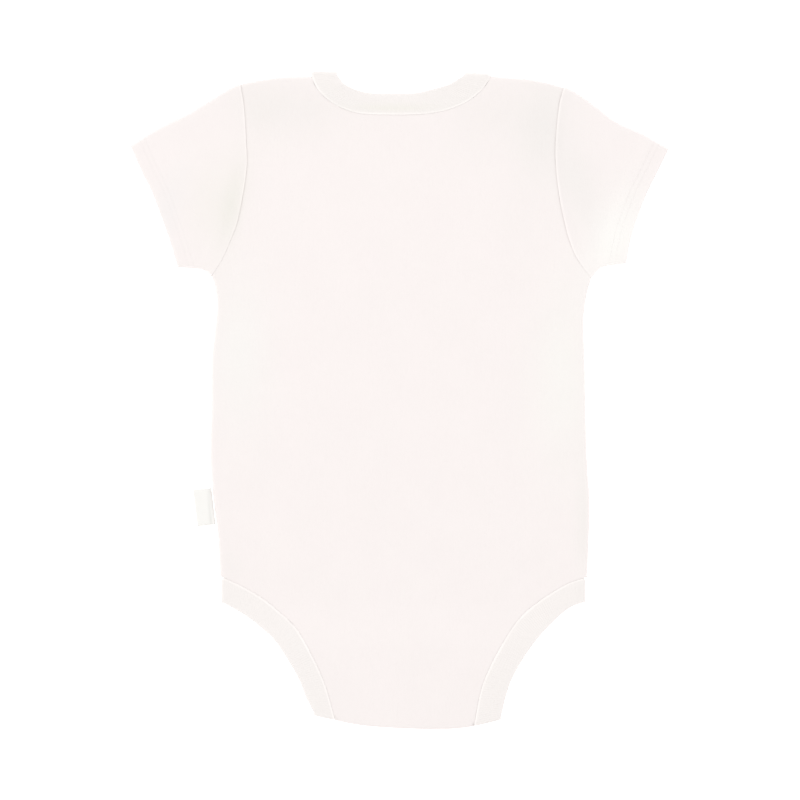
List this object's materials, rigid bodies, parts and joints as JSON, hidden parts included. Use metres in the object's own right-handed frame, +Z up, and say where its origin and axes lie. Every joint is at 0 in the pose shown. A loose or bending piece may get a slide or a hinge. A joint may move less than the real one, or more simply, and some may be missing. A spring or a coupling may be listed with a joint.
{
  "type": "baby onesie",
  "caption": "Short-sleeved baby onesie laid flat on its front, with rib bands at the neck and legs and a crotch that closes with snaps.",
  "frame": {"origin": "on the supporting surface, under the middle of the garment's box", "axes": "+Z up from the surface, +Y from the crotch to the neck, +X to the right as the back is seen from above"},
  "size_m": [0.3162, 0.386, 0.0066],
  "materials": {
    "jersey": "fine cotton jersey, matt",
    "rib": "fine cotton rib, matt",
    "label_tape": "woven tape, smooth",
    "snap": "white enamel, satin"
  },
  "bodies": {
    "root": {"back_panel": "jersey", "front_panel": "jersey", "sleeve_left": "jersey", "sleeve_right": "jersey", "neck_band": "rib", "leg_band_left": "rib", "leg_band_right": "rib", "side_label": "label_tape", "snap_1": "snap", "snap_2": "snap", "snap_3": "snap"}
  },
  "joints": []
}
